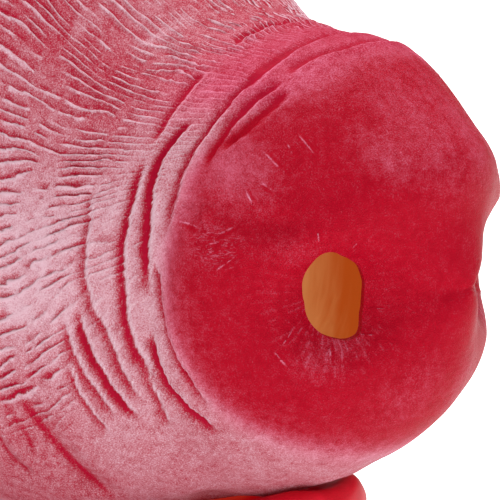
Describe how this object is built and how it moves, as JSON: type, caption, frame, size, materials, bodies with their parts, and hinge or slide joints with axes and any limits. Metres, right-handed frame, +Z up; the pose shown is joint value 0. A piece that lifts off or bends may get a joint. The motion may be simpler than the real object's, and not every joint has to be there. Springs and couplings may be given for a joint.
{
  "type": "pig head mask",
  "caption": "Hollow full-head latex pig mask with a blunt folded snout, open nostrils, eye holes, mouth with tongue, ears and an open neck, worn over the head.",
  "frame": {"origin": "middle of the bounding box on the plane of the neck rim, which the mask stands on", "axes": "+Z up, -Y the way the face looks, +X the mask's own left"},
  "size_m": [0.2604, 0.3542, 0.388],
  "materials": {
    "painted_skin": "satin latex, red base with pale pink dry-brushed over the high places",
    "red_latex": "smooth red painted latex"
  },
  "bodies": {
    "root": {"mask_shell": "painted_skin", "ear_right": "painted_skin", "ear_left": "painted_skin", "tongue": "red_latex"}
  },
  "joints": []
}
